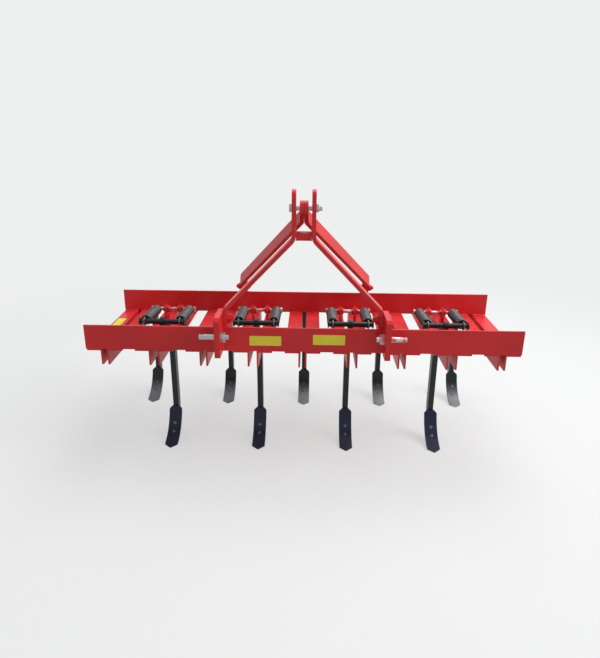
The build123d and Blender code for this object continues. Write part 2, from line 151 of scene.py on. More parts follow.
class CultivatorSizes(bpy.types.PropertyGroup):
    """Sizes of the small pieces."""

    wire: bpy.props.FloatProperty(
        name="Spring wire", description="Diameter of the spring wire",
        default=0.0072, min=0.003, max=0.010, unit="LENGTH")
    coil_gap: bpy.props.FloatProperty(
        name="Coil gap", description="Free space between neighbouring turns",
        default=0.0004, min=0.0, max=0.004, unit="LENGTH")
    edge: bpy.props.FloatProperty(
        name="Edge round", description="Radius that softens sawn and sheared edges",
        default=0.0016, min=0.0, max=0.004, unit="LENGTH")
    weld: bpy.props.FloatProperty(
        name="Weld leg", description="Leg of the fillet welds",
        default=0.0050, min=0.002, max=0.010, unit="LENGTH")
    shovel_bolt: bpy.props.FloatProperty(
        name="Shovel bolt head", description="Diameter of a shovel bolt's head",
        default=0.0155, min=0.010, max=0.030, unit="LENGTH")


# Shader expressions

# Sockets of a Mix node set to colours: factor, both colours, and the result among its outputs
MIX_FACTOR, MIX_FIRST, MIX_SECOND, MIX_RESULT = 0, 6, 7, 2


class Value:
    """A socket that takes part in arithmetic; each operation adds its Math node."""

    def __init__(self, shader, socket):
        self.shader = shader
        self.socket = socket

    def math(self, operation, first, second):
        return self.shader.node("ShaderNodeMath", {"operation": operation}, {0: first, 1: second})

    def __add__(self, other):
        return self.math("ADD", self, other)

    __radd__ = __add__

    def __mul__(self, other):
        return self.math("MULTIPLY", self, other)

    __rmul__ = __mul__

    def __sub__(self, other):
        return self.math("SUBTRACT", self, other)

    def __rsub__(self, other):
        return self.math("SUBTRACT", other, self)

    def or_more(self, other):
        """The larger of the two."""
        return self.math("MAXIMUM", self, other)

    def over(self, limit, width):
        """0 below limit, 1 from limit + width on."""
        settings = {"interpolation_type": "SMOOTHSTEP"}
        sockets = {"Value": self, "From Min": limit, "From Max": limit + width}
        return self.shader.node("ShaderNodeMapRange", settings, sockets)


class Shader:
    """The emptied node tree of a material or world, and the one way in which its nodes are made."""

    def __init__(self, owner):
        self.owner = owner
        owner.use_nodes = True
        self.tree = owner.node_tree
        self.tree.nodes.clear()

    def node(self, kind, settings=None, sockets=None, output=0):
        """A node of that kind: its settings first, then the values or links of its sockets."""
        made = self.tree.nodes.new(kind)
        for key, value in (settings or {}).items():
            setattr(made, key, value)
        for key, value in (sockets or {}).items():
            if isinstance(value, Value):
                self.tree.links.new(value.socket, made.inputs[key])
            else:
                made.inputs[key].default_value = value
        return Value(self, made.outputs[output]) if made.outputs else None

    def seen_ray(self):
        """1 on rays from the camera, from gloss and through glass, 0 on the rest."""
        camera = self.node("ShaderNodeLightPath", output="Is Camera Ray")
        gloss = self.node("ShaderNodeLightPath", output="Is Glossy Ray")
        glass = self.node("ShaderNodeLightPath", output="Is Transmission Ray")
        return camera.or_more(gloss.or_more(glass))

    def mix_shaders(self, share, first, second):
        """Mix of two shaders by share."""
        return self.node("ShaderNodeMixShader", sockets={0: share, 1: first, 2: second})


class Surface(Shader):
    """A material and the patterns that its finish is made of."""

    def __init__(self, name):
        super().__init__(bpy.data.materials.new(name))
        self.places = self.node("ShaderNodeTexCoord", output="Object")

    def grain(self, scale, detail=3.0, rough=0.5, stretch=None):
        """Noise over the object's own coordinates, scale in features per metre."""
        places = self.places
        if stretch:
            places = self.node("ShaderNodeMapping", sockets={"Vector": places, "Scale": stretch})
        sockets = {"Vector": places, "Scale": scale, "Detail": detail, "Roughness": rough}
        return self.node("ShaderNodeTexNoise", sockets=sockets)

    def blend(self, share, first, second):
        """Mix of two colours by share."""
        sockets = {MIX_FACTOR: share, MIX_FIRST: rgba(first), MIX_SECOND: rgba(second)}
        return self.node("ShaderNodeMix", {"data_type": "RGBA"}, sockets, output=MIX_RESULT)

    def facing(self, axis):
        """How far the surface faces along an axis, from -1 to 1."""
        normal = self.node("ShaderNodeNewGeometry", output="Normal")
        sockets = {0: normal, 1: axis}
        return self.node("ShaderNodeVectorMath", {"operation": "DOT_PRODUCT"}, sockets, output="Value")

    def soft_edges(self, radius):
        """Normal that rounds sharp edges by that radius."""
        return self.node("ShaderNodeBevel", {"samples": 4}, {"Radius": radius})

    def finish(self, height, depth, edge, **sockets):
        """Principled shader with a bump of that depth over rounded edges."""
        bumps = {"Height": height, "Distance": depth, "Normal": self.soft_edges(edge)}
        named = {key.replace("_", " "): value for key, value in sockets.items()}
        named["Normal"] = self.node("ShaderNodeBump", sockets=bumps)
        shader = self.node("ShaderNodeBsdfPrincipled", sockets=named)
        self.node("ShaderNodeOutputMaterial", sockets={"Surface": shader})
        return self.owner


def rgba(colour):
    """A colour with alpha, or a Value as it is."""
    return colour if isinstance(colour, Value) else (*tuple(colour)[:3], 1.0)


def shade(colour, factor):
    """A colour made lighter or darker."""
    return tuple(min(1.0, channel * factor) for channel in tuple(colour)[:3])


# Finishes

# Pale dusty colour, also a painted sheen of the sky on what faces up
DUST_AND_SHEEN = (0.62, 0.52, 0.47)
RUBBED_IRON = (0.075, 0.070, 0.066)
# Pale steel of the shovels' points: partly rubbed bare, partly a painted reflection of the sky
WORN_STEEL_AND_SHEEN = (0.20, 0.21, 0.23)

# Height below which a shovel is rubbed paler and given a painted reflection of the sky, and the height over
# which both fade
WEAR_AND_SHEEN_LOW = 0.028
WEAR_AND_SHEEN_FADE = 0.060


def paint_finish(name, colour, edge):
    """Gloss paint with faint orange peel, uneven depth, and pale specks on what faces up: partly a dusty film,
    partly a painted sheen of the sky on the tops.
    """
    shader = Surface(name)
    patches = shader.grain(5.0, detail=5.0)
    peel = shader.grain(420.0, detail=2.0)
    speck = shader.grain(95.0, detail=4.0, rough=0.7)
    # Pale specks on what faces up: partly a dusty film, partly a painted sheen that stands in for the sky's
    # reflection on the tops
    dust_and_sheen = shader.facing((0, 0, 1)).over(0.6, 0.4) * speck.over(0.52, 0.18)
    tone = shader.blend(patches.over(0.35, 0.35), shade(colour, 0.90), shade(colour, 1.06))
    pale = shader.blend(0.5, colour, DUST_AND_SHEEN)
    return shader.finish(
        height=peel + 0.6 * speck, depth=0.00012, edge=edge,
        Base_Color=shader.blend(dust_and_sheen * 0.18, tone, pale),
        Roughness=0.32 + 0.10 * speck + 0.12 * dust_and_sheen,
        IOR=1.36)


def forged_finish(name, colour, edge):
    """Black paint over forging scale: low lumps, dull patches and rubbed spots."""
    shader = Surface(name)
    scale = shader.grain(38.0, detail=6.0, rough=0.65)
    pits = shader.grain(260.0, detail=3.0)
    rubbed = scale.over(0.60, 0.12)
    return shader.finish(
        height=0.7 * scale + 0.3 * pits, depth=0.0007, edge=edge,
        Base_Color=shader.blend(rubbed * 0.35, colour, RUBBED_IRON),
        Roughness=0.25 + 0.22 * scale,
        IOR=1.42)


def lacquer_finish(name, colour, edge, wear_and_sheen):
    """Dark lacquer on rolled steel, paler and more metallic towards the point by the given share: partly
    rubbed bare by the soil, partly a painted reflection of the sky.
    """
    shader = Surface(name)
    lines = shader.grain(30.0, detail=4.0, stretch=(14.0, 14.0, 1.0))
    cloud = shader.grain(24.0, detail=5.0)
    above_ground = shader.node("ShaderNodeSeparateXYZ", sockets={"Vector": shader.places}, output="Z")
    # Paler towards the ground: partly rubbed bare, partly a painted reflection of the sky on the lower part
    worn_and_sheened = (1 - above_ground.over(WEAR_AND_SHEEN_LOW, WEAR_AND_SHEEN_FADE)) * (0.7 + 0.6 * cloud)
    return shader.finish(
        height=0.5 * lines + 0.5 * cloud, depth=0.0002, edge=edge,
        Base_Color=shader.blend(worn_and_sheened * wear_and_sheen, colour, WORN_STEEL_AND_SHEEN),
        Metallic=worn_and_sheened * wear_and_sheen * 0.4,
        Roughness=0.26 + 0.14 * cloud,
        IOR=1.36)


def wire_finish(name, colour, edge):
    """Oiled spring wire with a fine grain, paler in patches."""
    shader = Surface(name)
    fine = shader.grain(340.0, detail=3.0)
    cloud = shader.grain(30.0, detail=4.0)
    return shader.finish(
        height=fine, depth=0.00010, edge=edge,
        Base_Color=shader.blend(cloud.over(0.45, 0.3) * 0.5, colour, shade(colour, 1.9)),
        Metallic=0.3,
        Roughness=0.19 + 0.12 * cloud,
        IOR=1.5)


def plated_finish(name, colour, edge):
    """Zinc plating: fine spangle, turning marks and dull spots."""
    shader = Surface(name)
    marks = shader.grain(60.0, detail=3.0, stretch=(9.0, 1.0, 1.0))
    cloud = shader.grain(70.0, detail=5.0, rough=0.6)
    return shader.finish(
        height=0.5 * marks + 0.5 * cloud, depth=0.00015, edge=edge,
        Base_Color=shader.blend(cloud.over(0.42, 0.25) * 0.4, colour, shade(colour, 0.62)),
        Metallic=0.8,
        Roughness=0.24 + 0.20 * cloud,
        IOR=1.4)


def sprayed_sheened_finish(name, colour, edge, paint):
    """Zinc plating with red patches: partly the frame's paint misted over it, partly a painted reflection of
    the red frame round it.
    """
    shader = Surface(name)
    red_patch_noise = shader.grain(36.0, detail=5.0)
    fine = shader.grain(240.0, detail=3.0)
    # Red patches: partly overspray of the frame's paint, partly a painted reflection of the red frame
    painted = red_patch_noise.over(0.40, 0.20)
    return shader.finish(
        height=0.5 * red_patch_noise + 0.5 * fine, depth=0.00015, edge=edge,
        Base_Color=shader.blend(painted * 0.8, colour, paint),
        Metallic=0.7 - 0.6 * painted,
        Roughness=0.34 + 0.16 * fine,
        IOR=1.4)


def foil_finish(name, colour, edge):
    """Satin foil with faint creases and darker patches."""
    shader = Surface(name)
    crease = shader.grain(55.0, detail=4.0)
    fine = shader.grain(600.0, detail=2.0)
    return shader.finish(
        height=0.7 * crease + 0.3 * fine, depth=0.00010, edge=edge,
        Base_Color=shader.blend(crease.over(0.45, 0.25) * 0.35, colour, shade(colour, 0.84)),
        Roughness=0.42 + 0.12 * fine,
        IOR=1.45)


MATERIALS = {}


def material(name):
    """A finish by its name, made when it is first asked for."""
    if name not in MATERIALS:
        colours = bpy.context.scene.cultivator_colours
        edge = bpy.context.scene.cultivator_sizes.edge
        # Columns: finish, then its function, colour and what else the function takes
        makers = {
            "frame_paint": (paint_finish, colours.paint),
            "dull_paint": (paint_finish, shade(colours.paint, 0.72)),
            "tine_black": (forged_finish, colours.tine),
            "shovel_lacquer": (lacquer_finish, colours.shovel, 0.05),
            # Rear row's shovels: paler towards the point, partly rubbed bare, partly a painted reflection of
            # the sky
            "worn_lacquer": (lacquer_finish, colours.worn_shovel, 0.75),
            "spring_wire": (wire_finish, colours.spring),
            # The spring wire made paler on the hooks: a painted sheen
            "hook_wire": (wire_finish, shade(colours.spring, 1.7)),
            "zinc_plate": (plated_finish, colours.zinc),
            "dark_zinc": (plated_finish, shade(colours.zinc, 0.3)),
            # Paler zinc with red patches, partly a painted reflection of the red frame
            "sprayed_zinc": (sprayed_sheened_finish, shade(colours.zinc, 1.3), colours.paint),
            "blank_foil": (foil_finish, colours.plate),
        }
        maker, colour, *more = makers[name]
        MATERIALS[name] = maker(name, colour, edge, *more)
    return MATERIALS[name]


# Columns: slot, finish
SLOT_FINISH = {
    "frame_red": "frame_paint",
    "frame_dark": "dull_paint",
    "tine_black": "tine_black",
    "shovel_steel": "shovel_lacquer",
    "spring_steel": "spring_wire",
    "zinc_steel": "zinc_plate",
    "dark_steel": "dull_paint",
}

# Columns: node, finish, where it isn't the slot's
NODE_FINISH = {
    "mast_spacer": "frame_paint",
    "mast_bolts": "frame_paint",
    "brace_bolts": "frame_paint",
    # Anchor rods: red patches partly overspray, partly a painted reflection of the red lugs round them
    "anchor_bolts": "sprayed_zinc",
    "hitch_pin_right": "sprayed_zinc",
    # Rear row's shovels take the finish that is paler at the point, partly a painted reflection of the sky
    **{f"shovel_{station}": "worn_lacquer" for station in STATIONS if row_of(station) == "rear"},
}


# Mesh helpers

SHARP_EDGE = math.radians(38)
ROUND_SIDES = 32
NUT_SIDES = 48
STUD_SIDES = 20
WASHER_FOOT_CUT = 0.0003
WASHER_RIM_CUT = 0.0004


def new_piece(name, mesh, finishes, body="frame", smooth=True):
    """An object of the machine, which rides on a body if one is given."""
    for finish in finishes:
        mesh.materials.append(material(finish))
    if smooth:
        mesh.shade_smooth()
        mesh.set_sharp_from_angle(angle=SHARP_EDGE)
    piece = bpy.data.objects.new(name, mesh)
    bpy.context.scene.collection.objects.link(piece)
    if body:
        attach(piece, body)
    return piece


def to_mesh(name, bm):
    """A mesh from a bmesh, with its normals outwards."""
    bmesh.ops.recalc_face_normals(bm, faces=bm.faces)
    mesh = bpy.data.meshes.new(name)
    bm.to_mesh(mesh)
    bm.free()
    return mesh


def skin(bm, rings):
    """Faces between neighbouring rings of vertices."""
    for low, high in zip(rings, rings[1:]):
        for step in range(len(low)):
            after = (step + 1) % len(low)
            bm.faces.new((low[step], low[after], high[after], high[step]))


def turned(bm, profile, place, sides=ROUND_SIDES, flats=0):
    """Turns (radius, height) points about Z and sets the form at place; flats cuts it to a hexagon."""
    rings = []
    for radius, height in profile:
        ring = []
        for step in range(sides):
            angle = 2 * math.pi * step / sides
            reach = radius
            if flats:
                from_flat = (angle + math.pi / 6) % (math.pi / 3) - math.pi / 6
                reach = min(radius, flats / 2 / math.cos(from_flat))
            point = Vector((reach * math.cos(angle), reach * math.sin(angle), height))
            ring.append(bm.verts.new(place @ point))
        rings.append(ring)
    skin(bm, rings)
    bm.faces.new(list(reversed(rings[0])))
    bm.faces.new(rings[-1])


def hex_nut(bm, place, flats, height):
    """Hexagon nut or head standing on place, its corners turned off."""
    corner = flats / math.sqrt(3)
    cut = 0.06 * flats
    profile = [
        (corner - cut, 0.0),
        (corner, 0.10 * height),
        (corner, 0.82 * height),
        (corner - cut, height),
        (0.34 * flats, height),
    ]
    turned(bm, profile, place, sides=NUT_SIDES, flats=flats)


def washer(bm, place, radius, height):
    """Plain washer standing on place."""
    profile = [
        (radius - WASHER_FOOT_CUT, 0.0),
        (radius, WASHER_RIM_CUT),
        (radius, height),
        (radius - WASHER_RIM_CUT, height),
    ]
    turned(bm, profile, place)


def along(axis, origin):
    """Matrix whose Z points along axis, at origin."""
    return Matrix.Translation(origin) @ Vector(axis).to_track_quat("Z", "Y").to_matrix().to_4x4()


# Springs

SPRING_RADIUS = 0.0235
COIL_FROM_BAR = 0.0165
COIL_FROM_ANCHOR = 0.0135
TURN_STEPS = 24
WIRE_SIDES = 10
HOOK_STEPS = 22
HOOK_START = math.radians(40)
HOOK_END = math.radians(325)

# Columns: distance past the hook's reach, height, of the points that lead to the coil
HOOK_TAIL = ((0.0012, -0.0030), (0.0040, -0.0006))


def tube(bm, points, radius, coil_start, coil_end):
    """Round wire through points; before coil_start and after coil_end it takes the second material."""
    count = len(points)
    side = Vector((1, 0, 0))
    rings = []
    for index, point in enumerate(points):
        ahead = points[min(index + 1, count - 1)] - points[max(index - 1, 0)]
        ahead.normalize()
        side = (side - ahead * side.dot(ahead)).normalized()
        up = ahead.cross(side)
        ring = []
        for step in range(WIRE_SIDES):
            angle = 2 * math.pi * step / WIRE_SIDES
            around = side * radius * math.cos(angle) + up * radius * math.sin(angle)
            ring.append(bm.verts.new(point + around))
        rings.append(ring)
    for index in range(count - 1):
        low, high = rings[index], rings[index + 1]
        for step in range(WIRE_SIDES):
            after = (step + 1) % WIRE_SIDES
            face = bm.faces.new((low[step], low[after], high[after], high[step]))
            if not coil_start <= index <= coil_end:
                face.material_index = 1
    bm.faces.new(list(reversed(rings[0])))
    bm.faces.new(rings[-1])


def hook(bar_radius):
    """Points of a hook round a bar at the origin, from its free end to where it leads to the coil."""
    reach = bar_radius + SEAT + EYE_WIRE
    points = []
    for step in range(HOOK_STEPS + 1):
        turn = HOOK_START + (HOOK_END - HOOK_START) * step / HOOK_STEPS
        points.append(Vector((0, reach * math.cos(turn), reach * math.sin(turn))))
    for past, height in HOOK_TAIL:
        points.append(Vector((0, reach + past, height)))
    return points


def spring_line(length, wire, gap):
    """Points of a spring's wire along +Y, from hook to hook, and the first and last index of its coil."""
    mean = SPRING_RADIUS - wire / 2
    first = COIL_FROM_BAR + wire / 2
    last = length - COIL_FROM_ANCHOR - wire / 2
    steps = int((last - first) / (wire + gap) * TURN_STEPS)
    lead = TURN_STEPS // 2

    def on_turn(step, reach, y):
        """Point at a step of the turns, reach from the spring's axis."""
        angle = 2 * math.pi * step / TURN_STEPS
        return Vector((reach * math.cos(angle), y, reach * math.sin(angle)))

    points = hook(SPRING_BAR_RADIUS)
    tail = points[-1].y
    for step in range(1, lead):
        share = step / lead
        reach = mean * math.sin(share * math.pi / 2)
        points.append(on_turn(step - lead, reach, tail + (first - tail) * share))
    start = len(points)
    for step in range(steps + 1):
        points.append(on_turn(step, mean, first + (last - first) * step / steps))
    end = len(points)
    rear = [Vector((point.x, length - point.y, point.z)) for point in hook(ANCHOR_RADIUS)]
    rear.reverse()
    tail = rear[0].y
    for step in range(1, lead):
        share = step / lead
        reach = mean * math.cos(share * math.pi / 2)
        points.append(on_turn(steps + step, reach, last + (tail - last) * share))
    points.extend(rear)
    return points, start, end


def spring_ends(station):
    """Middle of the spring bar and of the anchor bolt at a station."""
    low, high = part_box(f"spring_pair_{station}")
    tine_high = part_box(f"tine_{station}")[1]
    x = (low.x + high.x) / 2
    bar = Vector((x, low.y + SPRING_BAR_RADIUS + SEAT + 2 * EYE_WIRE, tine_high.z - ARM_EYE_RADIUS))
    anchor_y = high.y - ANCHOR_RADIUS - SEAT - 2 * EYE_WIRE
    return bar, Vector((x, anchor_y, ANCHOR_HEIGHT[row_of(station)]))


class CULTIVATOR_OT_springs(bpy.types.Operator):
    """Close-wound springs with hooks, one pair at each station"""

    bl_idname = "cultivator.springs"
    bl_label = "Springs"

    def execute(self, context):
        sizes = context.scene.cultivator_sizes
        for station in STATIONS:
            bar, anchor = spring_ends(station)
            run = anchor - bar
            points, start, end = spring_line(run.length, sizes.wire, sizes.coil_gap)
            tilt = Matrix.Rotation(math.atan2(run.z, run.y), 4, "X")
            bm = bmesh.new()
            for side in (-1, 1):
                place = Matrix.Translation(bar + Vector((side * SPRING_OFFSET, 0, 0))) @ tilt
                tube(bm, [place @ point for point in points], sizes.wire / 2, start, end)
            name = f"springs_{station}"
            # Hooks take the paler wire, a painted sheen
            finishes = ("spring_wire", "hook_wire")
            piece = new_piece(name, to_mesh("springs", bm), finishes, body=None)
            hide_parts(f"spring_pair_{station}")
            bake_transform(piece)
        return {"FINISHED"}


# Frame and tines

# Turns about the middle of the shovel's curve at which its bolts sit
SHOVEL_BOLT_TURNS = (math.radians(38.5), math.radians(53.5))
HEAD_SINK = 0.0006

# Columns: share of the head's radius, height
SHOVEL_HEAD = ((1.0, -0.0006), (1.0, 0.0008), (0.93, 0.0016), (0.6, 0.0023), (0.2, 0.0026))

# Columns: radius, height
SHOVEL_STUD = ((0.005, 0.0), (0.005, 0.002), (0.0042, 0.0028))
SHOVEL_WASHER = (0.0115, 0.004)
WASHER_SINK = 0.003
FOOT_MARGIN = 0.0025

# Columns: width over flats, height
SHOVEL_NUT = (0.017, 0.0085)


class CULTIVATOR_OT_finishes(bpy.types.Operator):
    """Finishes of the machine's own solids"""

    bl_idname = "cultivator.finishes"
    bl_label = "Finishes"

    def execute(self, context):
        for part in record["subparts"]:
            name = part["node"]
            finish = NODE_FINISH.get(name, SLOT_FINISH[part["material_slot"]])
            mesh = nodes[name].data
            mesh.materials.clear()
            mesh.materials.append(material(finish))
        return {"FINISHED"}


class CULTIVATOR_OT_shovel_bolts(bpy.types.Operator):
    """Two flat-headed bolts through each shovel, with washers and nuts behind the foot"""

    bl_idname = "cultivator.shovel_bolts"
    bl_label = "Shovel bolts"

    def shovel_bolt(self, bm, centre, turn, head):
        """One bolt at a turn about the middle of the shovel's curve, its head of that radius."""
        out = Vector((0, math.cos(turn), -math.sin(turn)))
        face = centre + out * (SHOVEL_RADIUS + HEAD_SINK)
        turned(bm, [(head * share, height) for share, height in SHOVEL_HEAD], along(-out, face))
        taper = FOOT_DEPTH_TOP + (FOOT_DEPTH_END - FOOT_DEPTH_TOP) * turn / FOOT_TURN
        back = centre + out * (SHOVEL_RADIUS + SHOVEL_WALL + taper + FOOT_MARGIN - WASHER_SINK)
        washer(bm, along(out, back), *SHOVEL_WASHER)
        back += out * SHOVEL_WASHER[1]
        hex_nut(bm, along(out, back), *SHOVEL_NUT)
        back += out * SHOVEL_NUT[1]
        turned(bm, SHOVEL_STUD, along(out, back), sides=STUD_SIDES)

    def execute(self, context):
        head = context.scene.cultivator_sizes.shovel_bolt / 2
        reach = SHOVEL_RADIUS * math.cos(SHOVEL_TURN) - SHOVEL_TIP * math.sin(SHOVEL_TURN)
        height = SHOVEL_RADIUS * math.sin(SHOVEL_TURN) + SHOVEL_TIP * math.cos(SHOVEL_TURN)
        for station in STATIONS:
            low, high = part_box(f"shovel_{station}")
            centre = Vector(((low.x + high.x) / 2, low.y - reach, height))
            bm = bmesh.new()
            for turn in SHOVEL_BOLT_TURNS:
                self.shovel_bolt(bm, centre, turn, head)
            name = f"shovel_bolts_{station}"
            new_piece(name, to_mesh(name, bm), ("dark_zinc",), f"tine_unit_{station}")
        return {"FINISHED"}


# Nuts and washers of the frame

WASHER_WALL = 0.002

# Columns: row, then washer's radius, nut's width over flats and height
ANCHOR_NUT = {"front": (0.01792, 0.028, 0.007), "rear": (0.0155, 0.024, 0.011)}

# Columns: width over flats, height
BRACE_NUT = (0.0275, 0.015)

# Columns: radius, height
BRACE_STUD = ((0.009, 0.0), (0.009, 0.0225), (0.0078, 0.024))


class CULTIVATOR_OT_frame_nuts(bpy.types.Operator):
    """Nuts and washers on the anchor bolts, and nuts on the braces' bolts"""

    bl_idname = "cultivator.frame_nuts"
    bl_label = "Frame nuts"

    def anchor_faces(self, row):
        """Where along X the walls that an anchor bolt passes have their faces, and the way of each."""
        if row == "rear":
            wall = REAR_LEG_SLOT / 2 + HOLDER_WALL
            return [(way * wall, way) for way in (-1, 1)]
        return [(side * LUG_OFFSET + way * LUG_WALL / 2, way) for side in (-1, 1) for way in (-1, 1)]

    def execute(self, context):
        bm = bmesh.new()
        for station in STATIONS:
            anchor = spring_ends(station)[1]
            row = row_of(station)
            radius, flats, height = ANCHOR_NUT[row]
            for face, way in self.anchor_faces(row):
                axis = Vector((way, 0, 0))
                origin = anchor + Vector((face, 0, 0))
                washer(bm, along(axis, origin), radius, WASHER_WALL)
                hex_nut(bm, along(axis, origin + axis * WASHER_WALL), flats, height)
        new_piece("anchor_nuts", to_mesh("anchor_nuts", bm), ("frame_paint",))

        bm = bmesh.new()
        low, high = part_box("brace_bolts")
        for way in (-1, 1):
            face = Vector((way * BRACE_FOOT, (low.y + high.y) / 2, (low.z + high.z) / 2))
            hex_nut(bm, along((way, 0, 0), face), *BRACE_NUT)
            turned(bm, BRACE_STUD, along((way, 0, 0), face))
        new_piece("brace_nuts", to_mesh("brace_nuts", bm), ("frame_paint",))
        return {"FINISHED"}


# Welds

WELD_PASS = 0.0045
WELD_ARC = 5
WELD_SINK = 0.0006

# Noise along a weld: lumps per metre, and how far apart two welds read it
WELD_LUMPS = 60
WELD_APART = 7.3

# Shares of the leg: ripples, wander, hollow of the face, size at the ends, growth per metre, a small weld
WELD_RIPPLE = 0.10
WELD_WANDER = 0.16
WELD_HOLLOW = 0.22
WELD_START = 0.35
WELD_GROWTH = 300
SMALL_WELD = 0.8

# How far a weld stops short of an edge, of a corner and of the beam's foot
SHORT_OF_EDGE = 0.002
SHORT_OF_CORNER = 0.003
SHORT_OF_FOOT = 0.004
LUG_WELD_HALF = 0.025


def weld(bm, start, end, up, out, leg, seed):
    """Fillet weld in a corner from start to end, its legs along up and out, rippled by its passes."""
    line = end - start
    steps = max(6, round(line.length / (WELD_PASS / 4)))
    rings = []
    for index in range(steps + 1):
        share = index / steps
        run = share * line.length
        ripple = WELD_RIPPLE * math.sin(2 * math.pi * run / WELD_PASS)
        wander = WELD_WANDER * noise.noise(Vector((seed * WELD_APART, run * WELD_LUMPS, 0)))
        taper = min(1.0, WELD_START + WELD_GROWTH * min(share, 1 - share) * line.length)
        size = leg * (1 + ripple + wander) * taper
        root = start + line * share - (up + out) * WELD_SINK
        ring = [bm.verts.new(root)]
        for stop in range(WELD_ARC + 1):
            turn = math.pi / 2 * stop / WELD_ARC
            reach = size * (1 - WELD_HOLLOW * math.sin(2 * turn))
            ring.append(bm.verts.new(root + (up * math.cos(turn) + out * math.sin(turn)) * reach))
        rings.append(ring)
    skin(bm, rings)
    bm.faces.new(rings[0])
    bm.faces.new(list(reversed(rings[-1])))


class CULTIVATOR_OT_welds(bpy.types.Operator):
    """Fillet welds between beams, holders, hitch plates, lugs and mast"""

    bl_idname = "cultivator.welds"
    bl_label = "Welds"

    def holder_welds(self, bm, leg):
        """Across each holder's flanges, behind the front beam and before the rear one."""
        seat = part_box("front_beam")[0].z
        lines = ((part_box("front_beam")[1].y, BACK), (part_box("rear_beam")[0].y, -BACK))
        for station in STATIONS:
            low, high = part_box(f"tine_{station}")
            x = low.x / 2 + high.x / 2
            nose = NOSE_SLOT[row_of(station)] / 2
            for side in (-1, 1):
                inner = x + side * (nose + SHORT_OF_CORNER)
                outer = x + side * (nose + HOLDER_FLANGE - SHORT_OF_CORNER)
                for y, way in lines:
                    start = Vector((inner, y, seat))
                    weld(bm, start, Vector((outer, y, seat)), UP, way, leg, station + side * 0.3)

    def hitch_welds(self, bm, leg):
        """Hitch plates to the front beam's face, up both sides."""
        beam_low, beam_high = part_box("front_beam")
        for node in ("hitch_plate_left", "hitch_plate_right"):
            low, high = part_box(node)
            for x, way in ((low.x, -RIGHT), (high.x, RIGHT)):
                foot = Vector((x, beam_low.y, beam_low.z + SHORT_OF_FOOT))
                top = Vector((x, beam_low.y, beam_high.z - SHORT_OF_EDGE))
                weld(bm, foot, top, way, -BACK, leg, x)

    def spring_lug_welds(self, bm, leg):
        """Both sides of the front row's lugs to the flanges that they stand on."""
        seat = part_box("front_beam")[0].z
        for station in STATIONS:
            if row_of(station) == "rear":
                continue
            anchor = spring_ends(station)[1]
            for side in (-1, 1):
                for face in (-1, 1):
                    x = anchor.x + side * LUG_OFFSET + face * LUG_WALL / 2
                    start = Vector((x, anchor.y - LUG_WELD_HALF, seat))
                    end = Vector((x, anchor.y + LUG_WELD_HALF, seat))
                    weld(bm, start, end, UP, face * RIGHT, leg, station + face * 0.2)

    def brace_lug_welds(self, bm, leg):
        """Both sides of the braces' lugs to the rear beam's foot."""
        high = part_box("brace_lugs")[1]
        rear_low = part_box("rear_beam")[0]
        seat = rear_low.z + BEAM_WALL
        for side in (-1, 1):
            outer = side * high.x
            for x, way in ((outer, side), (outer - side * BRACE_LUG_WALL, -side)):
                start = Vector((x, rear_low.y + BEAM_WALL + SHORT_OF_CORNER, seat))
                end = Vector((x, high.y - SHORT_OF_EDGE, seat))
                weld(bm, start, end, UP, way * RIGHT, leg, side + way * 0.2)

    def mast_welds(self, bm, leg):
        """Spacer to the mast bars, below and above."""
        low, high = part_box("mast_spacer")
        for z, way in ((low.z, -UP), (high.z, UP)):
            for x, inward in ((low.x, RIGHT), (high.x, -RIGHT)):
                start = Vector((x, low.y + SHORT_OF_EDGE, z))
                weld(bm, start, Vector((x, high.y - SHORT_OF_EDGE, z)), way, inward, leg, z + x)

    def execute(self, context):
        leg = context.scene.cultivator_sizes.weld
        bm = bmesh.new()
        self.holder_welds(bm, leg)
        self.hitch_welds(bm, leg)
        self.spring_lug_welds(bm, leg * SMALL_WELD)
        self.brace_lug_welds(bm, leg * SMALL_WELD)
        self.mast_welds(bm, leg * SMALL_WELD)
        new_piece("welds", to_mesh("welds", bm), ("frame_paint",))
        return {"FINISHED"}


# Blank plates

PLATE_WALL = 0.0006
PLATE_CORNER = 0.003
PLATE_SINK = 0.0001
PLATE_RIM = 0.0003

# On the front beam. Columns: name, then x and z of the middle, half width and half height
BEAM_PLATES = {
    "front_plate_left": ((-0.149, 0.578), (0.0635, 0.0205)),
    "front_plate_right": ((0.105, 0.5855), (0.0640, 0.0212)),
}

# On the first flange: x and y of the middle, half width and half length
FLANGE_PLATE = ((-0.846, -0.060), (0.0185, 0.052))


def foil(bm, middle, across, upward, out, half_width, half_height):
    """Thin plate with rounded corners and a rounded rim."""
    outline = []
    for quarter in range(4):
        corner_x = (half_width - PLATE_CORNER) * (1 if quarter in (0, 3) else -1)
        corner_y = (half_height - PLATE_CORNER) * (1 if quarter < 2 else -1)
        for step in range(5):
            turn = math.pi / 2 * (quarter + step / 4)
            x = corner_x + PLATE_CORNER * math.cos(turn)
            outline.append((x, corner_y + PLATE_CORNER * math.sin(turn)))
    rings = []
    for inset, height in ((0.0, -PLATE_SINK), (0.0, PLATE_WALL * 0.7), (PLATE_RIM, PLATE_WALL)):
        ring = []
        for x, y in outline:
            along_x = across * (x * (1 - inset / half_width))
            along_y = upward * (y * (1 - inset / half_height))
            ring.append(bm.verts.new(middle + along_x + along_y + out * height))
        rings.append(ring)
    skin(bm, rings)
    bm.faces.new(list(reversed(rings[0])))
    bm.faces.new(rings[-1])


